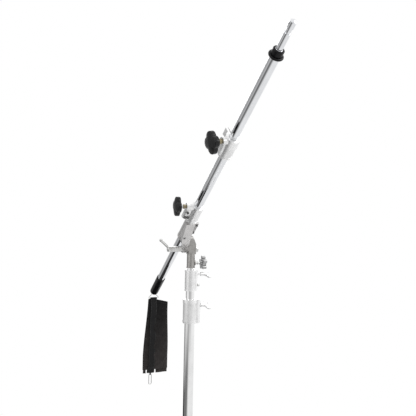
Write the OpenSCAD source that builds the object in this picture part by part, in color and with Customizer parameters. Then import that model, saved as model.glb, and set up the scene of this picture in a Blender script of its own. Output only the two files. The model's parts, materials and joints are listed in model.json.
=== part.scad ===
// Boom arm on a telescopic stand: three-legged base, two risers, tilting head,
// sliding two-section boom and a hanging counterweight bag.
// Origin: centre of the column on the floor. +Z up, +X under the boom's upper end.

/* [Stand] */
// Height of the tilt axis above the floor with both risers down
tilt_height = 1461; // [1450:1:1520]
// Outer diameter of the base column
column_d = 35; // [34.5:0.5:35.5]
// Outer diameter of the middle riser
middle_d = 30; // [29.5:0.5:30]
// Outer diameter of the top riser
top_d = 25; // [24.5:0.5:25]
// Wall of the column and risers
tube_wall = 1.5; // [1.2:0.1:1.5]
// Diameter of the stud that the head sits on
stud_d = 16; // [15.5:0.5:16]

/* [Base] */
// Distance from the column to where each leg meets the floor
foot_reach = 480; // [440:5:560]
// Outer diameter of a leg tube
leg_d = 25; // [22:0.5:26]
// Slope of a leg's outer end below horizontal
leg_slope = 32; // [30:1:36]
// Height of the lowest leg's collar
leg_height = 95; // [90:1:110]
// Height between one leg collar and the next
leg_pitch = 40; // [40:0.5:44]

/* [Boom] */
// Angle of the boom above horizontal
boom_angle = 33; // [20:0.5:45]
// Height of the boom's axis over the tilt axis, square to the boom
boom_rise = 34; // [33:0.5:38]
// Sideways distance from the column to the boom
boom_side = 34; // [34:0.5:40]
// Outer diameter of the outer boom tube
outer_d = 28; // [27.6:0.1:28]
// Outer diameter of the inner boom tube
inner_d = 25; // [24.6:0.1:25]
// Distance from the tilt axis to the boom's lower end
boom_lower = 447; // [440:1:480]
// Distance from the tilt axis to the tip of the spigot
boom_upper = 928; // [922:1:960]
// Diameter of the spigot
spigot_d = 16; // [15.5:0.5:16]

/* [Knobs] */
// Diameter of the star knobs
star_d = 62; // [58:1:66]
// Thickness of the star knobs
star_t = 18; // [16:1:22]

/* [Counterweight bag] */
// Width of the bag at its top
bag_top_w = 88; // [80:1:94]
// Width of the bag at its bottom
bag_low_w = 110; // [100:1:120]
// Thickness of the bag at its top
bag_top_t = 24; // [20:1:30]
// Thickness of the bag near its bottom
bag_low_t = 42; // [36:1:50]
// Height of the bag
bag_h = 316; // [280:1:330]

/* [Hidden] */
$fn = 64;

// clearances
run_fit = 0.05;
face_gap = 0.3;
cut = 1;

// tube radii
column_r = column_d / 2;
middle_r = middle_d / 2;
top_r = top_d / 2;
leg_r = leg_d / 2;
outer_r = outer_d / 2;
inner_r = inner_d / 2;
outer_wall = 1.3;
inner_wall = 1.5;
stud_r = stud_d / 2;
spigot_r = spigot_d / 2;
screw_r = 4;

// stand heights, from the floor
column_z = 44;
hub_z = 38;
lower_collar_z = tilt_height - 260;
lower_collar_h = 80;
column_top_z = tilt_height - 222;
lower_bush_top_z = tilt_height - 184;
lower_wing_z = tilt_height - 199.5;
upper_collar_z = tilt_height - 147;
upper_collar_h = 73.5;
middle_bottom_z = 461;
middle_top_z = tilt_height - 113;
upper_bush_top_z = tilt_height - 78;
upper_wing_z = tilt_height - 89.5;
upper_screw_z = tilt_height - 127.5;
top_bottom_z = 481;
top_end_z = tilt_height - 72.5;
guide_h = 25;

// stand collars: main radius, rib radius and the rib's centre
lower_collar_r = 24;
lower_rib_r = 13;
lower_rib_y = 25;
upper_collar_r = 19.5;
upper_rib_r = 11;
upper_rib_y = 14.5;

// legs
leg_collar_r = 30;
leg_collar_h = 38;
leg_start = 34;
leg_bend_r = 60;
leg_tangent = leg_bend_r * tan(leg_slope / 2);
leg_wall = 1.8;
leg_foot_gap = 26;
lower_leg_angle = 240;
middle_leg_angle = 120;
upper_leg_angle = 0;
lock_ring_z = leg_height + 2.5 * leg_pitch + 1;
lock_ring_h = 22;

// head
socket_r = 14;
socket_bottom = -67;
stud_top = -15.3;
yoke_half = 13;
yoke_left = -13;
yoke_right = 14.5;
socket_knob_drop = 49.8;
socket_knob_z = tilt_height - socket_knob_drop;
tilt_bolt_r = 5;
eye_r = 14;
disc_t = 1.2;
barrel_r = 10;
barrel_right = -35.2;
barrel_left = -86;
lever_r = 4.5;
lever_len = 44;
lever_rake = 34;
lever_lean = 38;

// distances along the boom from the tilt axis
sleeve_s = 32;
clamp_s = 144.5;
clamp_end_s = 228;
head_knob_s = 219;
front_s = 486;
front_step_s = 529.5;
front_end_s = 560;
front_knob_s = 549;
outer_end_s = 521;
grip_rim_s = -309;
grip_floor = 13;
inner_start_s = 110;
cap_s = 830;
cap_end_s = 853;
ring_s = 832;
groove_s = 896;
spigot_head_s = 909;
spigot_s = 844;
spigot_step = 0.8;
front_roll = 14;

// clamp knobs: distance of their backs from the boom's axis, and the faces that their inserts sit in
head_knob_back = 61;
front_knob_back = 56;
head_clamp_face = 38;
front_boss_face = 33;
knob_bore = star_t - 5;

// the head clamp's small screws: sideways, then along the clamp
clamp_screw_places = [[-30, 23], [-21, 23], [-28, 50]];

// the arm's flange screws, and its square screw: out from the boom's axis, sideways, along the boom
flange_screw_s = [63, 109];
flange_screw_y = 28.5;
square_screw = [30, -11, 76];
square_w = 8;

// counterweight bag: the hanger's top wire and bottom bar
eye_s = -boom_lower - 4;
eye_x = -boom_rise * sin(boom_angle) + eye_s * cos(boom_angle);
eye_z = tilt_height + boom_rise * cos(boom_angle) + eye_s * sin(boom_angle);
eye_ring_r = 5.5;
wire_r = 1.5;
hang_z = eye_z - 2.2;
bar_drop = 23;
bar_half = 17;
bag_top_y = 20;
bag_low_y = 12;
bag_droop = 15;
bag_top = -bar_drop - wire_r - 0.5;
bag_z_low = bag_top - bag_h;
strap_y = -8;

// ---- helpers ----

module tube(r, wall, h) {
  difference() {
    cylinder(r = r, h = h);
    translate([0, 0, -cut]) cylinder(r = r - wall, h = h + 2 * cut);
  }
}

module ring(r_out, r_in, h) {
  difference() {
    cylinder(r = r_out, h = h);
    translate([0, 0, -cut]) cylinder(r = r_in, h = h + 2 * cut);
  }
}

// a cylinder lying along Y from y0 to y1
module rod_y(r, y0, y1) {
  translate([0, y1, 0]) rotate([90, 0, 0]) cylinder(r = r, h = y1 - y0);
}

// boom frame: +Z along the boom, +X down and forward, origin abreast of the tilt axis
module on_boom(s = 0) {
  translate([0, 0, tilt_height])
    rotate([0, 90 - boom_angle, 0])
      translate([-boom_rise, -boom_side, s]) children();
}

// an axis square to the boom that points to -Y, rolled down by the given angle
module on_boom_side(s, roll = 0) {
  on_boom(s) rotate([0, 0, roll]) rotate([90, 0, 0]) children();
}

module at_tilt_axis() {
  translate([0, 0, tilt_height]) children();
}

// round outline with a rib on its +Y side
module rib_outline(r, rib_r, rib_y) {
  circle(r = r);
  translate([0, rib_y]) circle(r = rib_r);
  translate([-rib_r, 0]) square([2 * rib_r, rib_y]);
}

function unit(v) = v / norm(v);

// direction of travel at point i of a path
function heading(path, i, closed) =
  let (n = len(path))
  closed ? unit(path[(i + 1) % n] - path[(i + n - 1) % n])
         : unit(path[min(i + 1, n - 1)] - path[max(i - 1, 0)]);

// ring of points round point i of a flat path whose plane has the given normal
function path_ring(path, i, closed, normal, r, sides) =
  let (side = cross(heading(path, i, closed), normal))
  [for (k = [0:sides - 1]) path[i] + r * (cos(360 * k / sides) * normal + sin(360 * k / sides) * side)];

// quads between two rings of points that start at indices a and b
function band(a, b, sides) =
  [for (k = [0:sides - 1]) [a + k, a + (k + 1) % sides, b + (k + 1) % sides, b + k]];

// closed loop of wire along a flat path
module wire_loop(path, normal, r, sides) {
  n = len(path);
  polyhedron(
    points = [for (i = [0:n - 1]) each path_ring(path, i, true, normal, r, sides)],
    faces = [for (i = [0:n - 1]) each band(i * sides, ((i + 1) % n) * sides, sides)]
  );
}

// open tube along a flat path
module bent_tube(path, normal, r, wall, sides) {
  n = len(path);
  inner = n * sides;
  polyhedron(
    points = [for (layer = [r, r - wall]) for (i = [0:n - 1])
      each path_ring(path, i, false, normal, layer, sides)],
    faces = concat(
      [for (i = [0:n - 2]) each band(i * sides, (i + 1) * sides, sides)],
      [for (i = [0:n - 2]) each band(inner + (i + 1) * sides, inner + i * sides, sides)],
      band(inner, 0, sides),
      band((n - 1) * sides, inner + (n - 1) * sides, sides)
    )
  );
}

// ---- base ----

// centre line of a leg: level, a bend, then down to the floor
function leg_line(height) =
  let (corner = foot_reach - height / tan(leg_slope),
       slope_len = height / sin(leg_slope) - leg_foot_gap,
       bend_x = corner - leg_tangent)
  concat(
    [[leg_start, 0, height]],
    [for (a = [0:leg_slope / 8:leg_slope])
      [bend_x + leg_bend_r * sin(a), 0, height - leg_bend_r * (1 - cos(a))]],
    [[corner + slope_len * cos(leg_slope), 0, height - slope_len * sin(leg_slope)]]
  );

module leg_tube(height) {
  bent_tube(leg_line(height), [0, 1, 0], leg_r, leg_wall, 24);
}

module leg_collar(height) {
  stub_r = 16;
  stub_end = 82;
  difference() {
    union() {
      translate([0, 0, height - leg_collar_h / 2]) cylinder(r = leg_collar_r, h = leg_collar_h - 0.2);
      translate([20, 0, height]) rotate([0, 90, 0]) cylinder(r = stub_r, h = stub_end - 20);
    }
    translate([0, 0, height - leg_collar_h])
      cylinder(r = column_r + 2 * run_fit, h = 2 * leg_collar_h);
    translate([leg_start, 0, height]) rotate([0, 90, 0]) cylinder(r = leg_r, h = stub_end);
  }
}

// rubber shoe, cut flat where it meets the floor
module leg_foot(height) {
  shoe_r = leg_r + 3.5;
  shoe_back = 62;
  corner = foot_reach - height / tan(leg_slope);
  slope_len = height / sin(leg_slope);
  difference() {
    translate([corner, 0, height]) rotate([0, 90 + leg_slope, 0])
      translate([0, 0, slope_len - shoe_back]) cylinder(r = shoe_r, h = shoe_back + 18);
    translate([corner, 0, height]) rotate([0, 90 + leg_slope, 0])
      translate([0, 0, slope_len - shoe_back - cut]) cylinder(r = leg_r, h = shoe_back - leg_foot_gap + cut);
    translate([foot_reach - 100, -50, -50]) cube([200, 100, 50]);
  }
}

module base_hub() {
  flange_z = leg_height - leg_collar_h / 2;
  color("gainsboro") difference() {
    union() {
      translate([0, 0, hub_z]) cylinder(r = 26, h = flange_z - hub_z);
      translate([0, 0, flange_z - 6]) cylinder(r = leg_collar_r, h = 6);
    }
    translate([0, 0, column_z]) cylinder(r = column_r, h = flange_z);
  }
}

module base_column() {
  color("silver") translate([0, 0, column_z]) tube(column_r, tube_wall, column_top_z - column_z);
}

module lower_leg_collar() {
  color("gainsboro") rotate([0, 0, lower_leg_angle]) leg_collar(leg_height);
}

module lower_leg() {
  color("silver") rotate([0, 0, lower_leg_angle]) leg_tube(leg_height);
}

module lower_foot() {
  color("dimgray") rotate([0, 0, lower_leg_angle]) leg_foot(leg_height);
}

module middle_leg_collar() {
  color("gainsboro") rotate([0, 0, middle_leg_angle]) leg_collar(leg_height + leg_pitch);
}

module middle_leg() {
  color("silver") rotate([0, 0, middle_leg_angle]) leg_tube(leg_height + leg_pitch);
}

module middle_foot() {
  color("dimgray") rotate([0, 0, middle_leg_angle]) leg_foot(leg_height + leg_pitch);
}

module upper_leg_collar() {
  color("gainsboro") rotate([0, 0, upper_leg_angle]) leg_collar(leg_height + 2 * leg_pitch);
}

module upper_leg() {
  color("silver") rotate([0, 0, upper_leg_angle]) leg_tube(leg_height + 2 * leg_pitch);
}

module upper_foot() {
  color("dimgray") rotate([0, 0, upper_leg_angle]) leg_foot(leg_height + 2 * leg_pitch);
}

// thin spacers between the leg collars
module leg_washers() {
  washer_t = leg_pitch - leg_collar_h;
  color("silver") for (i = [0:2])
    translate([0, 0, leg_height + i * leg_pitch + leg_collar_h / 2])
      ring(27, column_r, washer_t - 0.2);
}

module leg_lock_ring() {
  boss_r = 9;
  color("gainsboro") difference() {
    union() {
      translate([0, 0, lock_ring_z]) cylinder(r = 28, h = lock_ring_h);
      translate([-36, 0, lock_ring_z + lock_ring_h / 2]) rotate([0, 90, 0]) cylinder(r = boss_r, h = 20);
    }
    translate([0, 0, lock_ring_z - cut]) cylinder(r = column_r, h = lock_ring_h + 2 * cut);
    translate([-40, 0, lock_ring_z + lock_ring_h / 2]) rotate([0, 90, 0])
      cylinder(r = screw_r + run_fit, h = 30);
  }
}

// screw along +Z with a two-lobed wing, its tip at z = 0
module wing_screw(shank, reach) {
  hub_r = 7;
  wing_t = 6;
  lobe_r = 8;
  lobe_x = 17;
  cylinder(r = screw_r, h = shank + 2);
  translate([0, 0, shank]) cylinder(r = hub_r, h = reach - shank - 12);
  rotate([90, 0, 0]) translate([0, 0, -wing_t / 2]) linear_extrude(height = wing_t)
    for (side = [-1, 1]) {
      translate([side * lobe_x, reach - lobe_r]) circle(r = lobe_r);
      polygon([[0, shank + 5], [side * (lobe_x + lobe_r - 1), reach - lobe_r],
               [side * (lobe_x - lobe_r + 2), reach - lobe_r + 2], [0, reach - 14]]);
    }
}

module leg_lock_screw() {
  color("silver") translate([-column_r - face_gap, 0, lock_ring_z + lock_ring_h / 2])
    rotate([0, -90, 0]) rotate([0, 0, 90]) wing_screw(24, 58);
}

// ---- column collars and risers ----

module lower_collar() {
  lip_h = 9;
  color("whitesmoke") difference() {
    translate([0, 0, lower_collar_z]) {
      linear_extrude(height = lower_collar_h) rib_outline(lower_collar_r, lower_rib_r, lower_rib_y);
      translate([0, 0, lower_collar_h - lip_h])
        linear_extrude(height = lip_h + 3) rib_outline(lower_collar_r + 1, lower_rib_r, lower_rib_y);
      cylinder(r1 = lower_collar_r - 2, r2 = lower_collar_r + 1, h = 4);
      translate([0, 0, 4]) cylinder(r = lower_collar_r + 1, h = 8);
    }
    translate([0, 0, lower_collar_z - cut]) cylinder(r = column_r, h = column_top_z - lower_collar_z + cut);
    translate([0, 0, column_top_z - cut])
      cylinder(r = column_r - 0.3, h = lower_bush_top_z - column_top_z + cut);
    cylinder(r = middle_r + 0.5, h = tilt_height);
    translate([0, 0, lower_wing_z]) rod_y(screw_r + run_fit, 10, 60);
  }
}

// plastic liner that the middle riser slides in
module lower_bush() {
  color("white") difference() {
    translate([0, 0, column_top_z])
      ring(column_r - 0.3, middle_r + run_fit, lower_bush_top_z - column_top_z);
    translate([0, 0, lower_wing_z]) rod_y(screw_r + face_gap, 10, 60);
  }
}

module lower_wing_screw() {
  color("silver") translate([0, middle_r + face_gap, lower_wing_z])
    rotate([-90, 0, 0]) rotate([0, 0, 22]) wing_screw(25, 58);
}

module middle_riser() {
  color("silver") translate([0, 0, middle_bottom_z])
    tube(middle_r, tube_wall, middle_top_z - middle_bottom_z);
}

module middle_guide() {
  color("white") translate([0, 0, middle_bottom_z])
    ring(column_r - tube_wall - run_fit, middle_r, guide_h);
}

module upper_collar() {
  color("whitesmoke") difference() {
    translate([0, 0, upper_collar_z]) {
      linear_extrude(height = upper_collar_h) rib_outline(upper_collar_r, upper_rib_r, upper_rib_y);
      cylinder(r = upper_collar_r + 0.6, h = 6);
      translate([0, 0, upper_collar_h - 7]) cylinder(r = upper_collar_r + 0.6, h = 7);
    }
    translate([0, 0, upper_collar_z - cut]) cylinder(r = middle_r, h = middle_top_z - upper_collar_z + cut);
    translate([0, 0, middle_top_z - cut])
      cylinder(r = middle_r - 0.8, h = upper_bush_top_z - middle_top_z + cut);
    cylinder(r = top_r + face_gap, h = tilt_height);
    translate([0, 0, upper_wing_z]) rod_y(screw_r + run_fit, 10, 60);
    translate([0, 0, upper_screw_z]) rod_y(3, 10, 60);
  }
}

module upper_bush() {
  color("white") difference() {
    translate([0, 0, middle_top_z])
      ring(middle_r - 0.8, top_r + run_fit, upper_bush_top_z - middle_top_z);
    translate([0, 0, upper_wing_z]) rod_y(screw_r + face_gap, 10, 60);
  }
}

// socket-head screw that fastens the upper collar to the middle riser
module upper_collar_screw() {
  head_y = upper_rib_y + upper_rib_r;
  color("silver") translate([0, 0, upper_screw_z]) difference() {
    union() {
      rod_y(3, middle_r, head_y + 2);
      rod_y(5.5, head_y, head_y + 7);
    }
    translate([0, head_y + 8, 0]) rotate([90, 0, 0]) cylinder(r = 2.9, h = 5, $fn = 6);
  }
}

module upper_wing_screw() {
  color("silver") translate([0, top_r + face_gap, upper_wing_z])
    rotate([-90, 0, 0]) rotate([0, 0, 22]) wing_screw(24, 60);
}

module top_riser() {
  color("silver") translate([0, 0, top_bottom_z]) tube(top_r, tube_wall, top_end_z - top_bottom_z);
}

module top_guide() {
  color("white") translate([0, 0, top_bottom_z])
    ring(middle_r - tube_wall - run_fit, top_r, guide_h);
}

// plug, shoulder and stud that the head swivels on
module top_stud() {
  groove_z = tilt_height - 36;
  stud_end = tilt_height + stud_top;
  color("silver") difference() {
    union() {
      translate([0, 0, top_end_z - 38]) cylinder(r = top_r - tube_wall, h = 40);
      translate([0, 0, top_end_z]) cylinder(r = top_r, h = 3);
      translate([0, 0, top_end_z + 2]) cylinder(r = stud_r, h = stud_end - 2 - top_end_z - 2);
      translate([0, 0, stud_end - 2]) cylinder(r1 = stud_r, r2 = stud_r - 2, h = 2);
    }
    translate([0, 0, groove_z]) ring(stud_r + cut, stud_r - 1.5, 7);
  }
}

// ---- head ----

module head_yoke() {
  top_z = 47;
  foot_z = -18;
  color("silver") at_tilt_axis() difference() {
    union() {
      translate([0, 0, socket_bottom]) cylinder(r = socket_r, h = -socket_bottom - 14);
      intersection() {
        rotate([90, 0, 90]) translate([0, 0, -yoke_half]) linear_extrude(height = 2 * yoke_half)
          polygon([[yoke_left, foot_z], [yoke_right, foot_z], [yoke_right, 17], [2, top_z],
                   [-8, top_z], [-8, 27], [yoke_left, 20]]);
        rotate([90, 0, 0]) translate([0, 0, -30]) linear_extrude(height = 60) {
          translate([-yoke_half, foot_z]) square([2 * yoke_half, top_z - yoke_half - foot_z]);
          translate([0, top_z - yoke_half]) circle(r = yoke_half);
        }
      }
      translate([0, 0, socket_bottom]) cylinder(r = socket_r + 1, h = 4);
      translate([0, 12, -socket_knob_drop]) rod_y(9, 0, 5);
    }
    translate([0, 0, socket_bottom - cut])
      cylinder(r = stud_r + run_fit, h = stud_top - socket_bottom + cut + face_gap);
    rod_y(tilt_bolt_r + run_fit, -30, 30);
    translate([0, 0, -socket_knob_drop]) rod_y(screw_r + run_fit, 0, 40);
  }
}

module socket_screw() {
  color("silver") translate([0, 0, socket_knob_z]) {
    rod_y(screw_r, stud_r + face_gap, 40);
    rod_y(6.5, 23, 27);
  }
}

// die-cast hand knob with five lobes
module socket_knob() {
  core_r = 15;
  lobe_r = 6.5;
  face_y = 53;
  knob_t = 13;
  color("silver") translate([0, 0, socket_knob_z]) difference() {
    translate([0, face_y, 0]) rotate([90, 0, 0]) union() {
      linear_extrude(height = knob_t) {
        circle(r = core_r);
        for (i = [0:4]) rotate(i * 72 + 20) translate([core_r + 3.5, 0]) circle(r = lobe_r);
      }
      cylinder(r = 9, h = knob_t + 6);
    }
    rod_y(screw_r, 30, 40);
  }
}

module tilt_bolt() {
  color("silver") at_tilt_axis() rod_y(tilt_bolt_r, -60, 25);
}

module tilt_nut() {
  nut_y = yoke_right + 1.2;
  color("silver") at_tilt_axis() difference() {
    union() {
      translate([0, nut_y + 8, 0]) rotate([90, 0, 0]) cylinder(r = 13, h = 8, $fn = 6);
      rod_y(13, nut_y, nut_y + 2);
    }
    rod_y(tilt_bolt_r, 0, 40);
  }
}

module tilt_nut_washer() {
  color("silver") at_tilt_axis() difference() {
    rod_y(14, yoke_right, yoke_right + 1.2);
    rod_y(tilt_bolt_r, 0, 40);
  }
}

// fibre disc between the yoke and the arm
module friction_disc() {
  color("dimgray") at_tilt_axis() difference() {
    rod_y(13.5, yoke_left - disc_t, yoke_left);
    rod_y(tilt_bolt_r, -30, 0);
  }
}

module tilt_washer() {
  color("silver") at_tilt_axis() difference() {
    rod_y(12.5, -34.9, -32.7);
    rod_y(tilt_bolt_r, -40, 0);
  }
}

module tilt_barrel() {
  color("silver") at_tilt_axis() difference() {
    union() {
      rod_y(barrel_r, barrel_left + 2, barrel_right);
      translate([0, barrel_left, 0]) rotate([-90, 0, 0]) cylinder(r1 = barrel_r - 2, r2 = barrel_r, h = 2);
    }
    rod_y(tilt_bolt_r + run_fit, -62, 0);
    on_lever() cylinder(r = lever_r, h = lever_len);
  }
}

// axis of the raked lever, which leaves the outer end of the barrel
module on_lever(along = 0) {
  translate([0, barrel_left + 9, 0])
    rotate([0, -lever_rake, 0])
      rotate([lever_lean, 0, 0])
        translate([0, 0, along]) children();
}

module tilt_lever() {
  color("silver") at_tilt_axis() {
    on_lever() cylinder(r = lever_r, h = lever_len);
    on_lever(lever_len) sphere(r = 5.6);
  }
}

// ---- boom head ----

module boom_arm() {
  arm_left = -17;
  arm_right = 12;
  eye_left = 1.5;
  eye_right = boom_side + yoke_left - disc_t - 0.1;
  color("darkgray") on_boom() difference() {
    union() {
      translate([0, 0, sleeve_s]) cylinder(r = 18, h = clamp_s - sleeve_s);
      intersection() {
        // side profile, from the eye up to the sleeve
        rotate([90, 0, 0]) translate([0, 0, -30]) linear_extrude(height = 60) {
          translate([boom_rise, 0]) circle(r = eye_r);
          polygon([[15, 6], [24, -10], [boom_rise, -eye_r], [boom_rise + eye_r, 0],
                   [boom_rise + 8, 52], [17.5, 136], [8, 136], [8, sleeve_s], [15, sleeve_s]]);
        }
        // front outline: a shield above the eye
        rotate([90, 0, 90]) translate([0, 0, 5]) linear_extrude(height = 50)
          polygon([[eye_left, -20], [eye_right, -20], [eye_right, 14], [arm_right, 36],
                   [arm_right, 140], [arm_left, 140], [arm_left, 62], [-8, 30], [eye_left, 12]]);
      }
      // side flange with two lugs
      translate([-4, 24, sleeve_s + 20]) cube([8, 9, 68]);
      for (s = [0, 52]) translate([-4, 10, sleeve_s + 20 + s]) cube([8, 18, 16]);
      translate([0, 0, sleeve_s]) cylinder(r = 19, h = 5);
    }
    translate([0, 0, sleeve_s - cut]) cylinder(r = outer_r + run_fit, h = clamp_s - sleeve_s + 2 * cut);
    translate([boom_rise, 0, 0]) rod_y(tilt_bolt_r + run_fit, -40, 40);
    for (s = flange_screw_s) translate([0, flange_screw_y, s]) rotate([0, 90, 0]) cylinder(r = 2.5, h = 10);
    translate(square_screw - [0, square_w / 2, square_w / 2]) cube([20, square_w, square_w]);
  }
}

// two flange screws and the dark square-head screw in the front of the arm
module arm_screws() {
  head_w = square_w - 0.2;
  color("dimgray") on_boom() {
    for (s = flange_screw_s) translate([0, flange_screw_y, s]) rotate([0, 90, 0]) {
      cylinder(r = 2.5, h = 6);
      translate([0, 0, 4]) cylinder(r = 4, h = 3);
    }
    translate(square_screw - [0, head_w / 2, head_w / 2]) cube([4, head_w, head_w]);
  }
}

module head_clamp() {
  rib_r = 9.5;
  knob_at = head_knob_s - clamp_s - 0.2;
  color("gainsboro") on_boom(clamp_s + 0.2) difference() {
    union() {
      cylinder(r = 20, h = clamp_end_s - clamp_s - 0.2);
      cylinder(r = 21, h = 5);
      translate([-1.5, 0, 14]) linear_extrude(height = 62) {
        translate([0, -head_clamp_face + rib_r]) circle(r = rib_r);
        translate([-rib_r, -head_clamp_face + rib_r]) square([2 * rib_r, head_clamp_face - rib_r - 12]);
      }
      translate([0, 0, knob_at]) rod_y(12, -head_clamp_face, -10);
    }
    translate([0, 0, -cut]) cylinder(r = outer_r + run_fit, h = 110);
    translate([0, 0, knob_at]) rod_y(6, -60, 0);
    for (p = clamp_screw_places) translate([0, p[0], p[1]]) rotate([0, 90, 0]) {
      cylinder(r = 2.5, h = 12);
      translate([0, 0, 8]) cylinder(r = 4.4, h = 8);
    }
  }
}

module head_clamp_screws() {
  color("dimgray") on_boom(clamp_s + 0.2)
    for (p = clamp_screw_places) translate([0, p[0], p[1]]) rotate([0, 90, 0]) difference() {
      union() {
        cylinder(r = 2.5, h = 9);
        translate([0, 0, 8]) cylinder(r = 4.2, h = 4);
      }
      translate([0, 0, 10]) cylinder(r = 2, h = 3, $fn = 6);
    }
}

// threaded brass bushing for a clamp knob, its flange on a short neck outside the casting
module clamp_insert(face, depth, neck) {
  flange_t = 6;
  difference() {
    union() {
      translate([0, 0, face - depth]) cylinder(r = 6, h = depth);
      translate([0, 0, face - 1]) cylinder(r = 5.2, h = neck + 2);
      translate([0, 0, face + neck]) cylinder(r = 7, h = flange_t);
    }
    cylinder(r = screw_r + run_fit, h = face + 20);
  }
}

module head_clamp_insert() {
  color("goldenrod") on_boom_side(head_knob_s) clamp_insert(head_clamp_face, 16, 5);
}

module star_outline(r, wall) {
  circle(r = 0.68 * r - wall);
  for (i = [0:3]) rotate(i * 90) translate([0.625 * r, 0]) circle(r = 0.375 * r - wall);
}

// four-lobed hand knob, open at the back round its hub, with a domed face at +Z
module star_knob() {
  dome_r = 105;
  star_r = star_d / 2;
  shell = 3.4;
  hub_r = 12;
  difference() {
    intersection() {
      linear_extrude(height = star_t) star_outline(star_r, 0);
      translate([0, 0, star_t - dome_r]) sphere(r = dome_r);
    }
    difference() {
      translate([0, 0, -cut]) linear_extrude(height = star_t - 8) star_outline(star_r, shell);
      translate([0, 0, -2 * cut]) cylinder(r = hub_r, h = star_t);
    }
    translate([0, 0, -cut]) cylinder(r = screw_r, h = knob_bore + cut);
  }
}

module head_knob() {
  color("black") on_boom_side(head_knob_s) translate([0, 0, head_knob_back]) rotate(45) star_knob();
}

module head_knob_screw() {
  color("silver") on_boom_side(head_knob_s)
    translate([0, 0, outer_r + face_gap])
      cylinder(r = screw_r, h = head_knob_back + knob_bore - outer_r - face_gap);
}

// ---- outer boom ----

module outer_tube() {
  tube_start = grip_floor - boom_lower;
  color("silver") on_boom(tube_start) tube(outer_r, outer_wall, outer_end_s - tube_start);
}

// black end cap with a rounded end
module end_grip() {
  grip_r = 17;
  round_r = 8;
  grip_end = boom_lower + grip_rim_s;
  color("black") on_boom(-boom_lower) difference() {
    union() {
      translate([0, 0, round_r]) cylinder(r = grip_r, h = grip_end - round_r - 1);
      translate([0, 0, grip_end - 1]) cylinder(r1 = grip_r, r2 = grip_r - 1, h = 1);
      cylinder(r = grip_r - round_r, h = round_r);
      translate([0, 0, round_r]) rotate_extrude() translate([grip_r - round_r, 0]) circle(r = round_r);
    }
    translate([0, 0, grip_floor]) cylinder(r = outer_r, h = grip_end);
    translate([0, 0, -cut]) cylinder(r = 2, h = 10);
    // recess for the eye
    translate([0, 0, -cut]) cylinder(r = eye_ring_r + wire_r + 0.4, h = 3.4 + cut);
  }
}

// screwed eye at the lower end of the boom
module grip_eye() {
  color("silver") on_boom(eye_s) {
    rotate([90, 0, 0]) rotate_extrude() translate([eye_ring_r, 0]) circle(r = wire_r);
    translate([0, 0, eye_ring_r]) cylinder(r = 2, h = 6);
  }
}

module front_collar() {
  ear_h = 26;
  color("whitesmoke") on_boom(front_s) rotate([0, 0, front_roll]) difference() {
    union() {
      cylinder(r = 20, h = front_step_s - front_s);
      translate([0, 0, front_step_s - front_s]) cylinder(r = 21.5, h = front_end_s - front_step_s);
      cylinder(r = 21, h = 5);
      translate([0, 0, front_knob_s - front_s]) rod_y(11, -front_boss_face, 0);
      translate([-9, -front_boss_face + 7, 12]) cube([16, 20, front_knob_s - front_s - 12]);
      translate([-34, -9, front_end_s - front_s - ear_h]) cube([20, 14, ear_h]);
    }
    translate([0, 0, -cut]) cylinder(r = outer_r, h = outer_end_s - front_s + cut);
    translate([0, 0, outer_end_s - front_s - cut]) cylinder(r = outer_r, h = 36 + cut);
    cylinder(r = inner_r + 0.5, h = 100);
    translate([0, 0, front_knob_s - front_s]) rod_y(6, -60, 0);
    // split between the ears
    translate([-40, -3.2, front_step_s - front_s + 2]) cube([30, 2.4, 40]);
  }
}

// liner that the inner tube slides in
module front_bush() {
  color("white") difference() {
    on_boom(outer_end_s) ring(outer_r, inner_r + run_fit, 36);
    on_boom_side(front_knob_s, front_roll) cylinder(r = 6.2, h = 40);
  }
}

module front_insert() {
  color("goldenrod") on_boom_side(front_knob_s, front_roll) clamp_insert(front_boss_face, 17.5, 3);
}

module front_knob() {
  color("black") on_boom_side(front_knob_s, front_roll) translate([0, 0, front_knob_back]) rotate(54)
    star_knob();
}

module front_knob_screw() {
  color("silver") on_boom_side(front_knob_s, front_roll)
    translate([0, 0, inner_r + face_gap])
      cylinder(r = screw_r, h = front_knob_back + knob_bore - inner_r - face_gap);
}

// ---- inner boom ----

module inner_tube() {
  color("silver") on_boom(inner_start_s) tube(inner_r, inner_wall, spigot_s - inner_start_s);
}

module inner_guide() {
  color("white") on_boom(inner_start_s) ring(outer_r - outer_wall - run_fit, inner_r, guide_h);
}

module top_cap() {
  color("black") on_boom(cap_s) difference() {
    union() {
      cylinder(r = inner_r + 1.3, h = cap_end_s - cap_s - 2);
      translate([0, 0, cap_end_s - cap_s - 2]) cylinder(r1 = inner_r + 1.3, r2 = inner_r - 0.7, h = 2);
    }
    translate([0, 0, -cut]) cylinder(r = inner_r, h = spigot_s - cap_s + cut);
    cylinder(r = spigot_r + spigot_step, h = 40);
  }
}

module flange_ring() {
  ring_t = 6;
  edge_r = ring_t / 2;
  ring_r = 18.5;
  color("black") on_boom(ring_s) difference() {
    union() {
      translate([0, 0, edge_r]) rotate_extrude() translate([ring_r - edge_r, 0]) circle(r = edge_r);
      cylinder(r = ring_r - edge_r, h = ring_t);
    }
    translate([0, 0, -cut]) cylinder(r = inner_r + 1.3, h = ring_t + 2 * cut);
  }
}

// stud with a retaining groove, a rounded head and a cross hole
module spigot() {
  color("silver") on_boom() difference() {
    union() {
      translate([0, 0, spigot_s - 30]) cylinder(r = inner_r - inner_wall, h = 30);
      translate([0, 0, spigot_s - 1]) cylinder(r = spigot_r + spigot_step, h = cap_end_s - spigot_s + 1);
      translate([0, 0, spigot_s]) cylinder(r = spigot_r, h = boom_upper - 3 - spigot_s);
      translate([0, 0, boom_upper - 3]) intersection() {
        cylinder(r = spigot_r, h = 3);
        translate([0, 0, -9.2]) sphere(r = 12.2);
      }
    }
    translate([0, 0, groove_s]) ring(spigot_r + cut, spigot_r - 1.8, spigot_head_s - groove_s);
    translate([0, 0, boom_upper - 10]) rod_y(2.2, -20, 20);
  }
}

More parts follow.
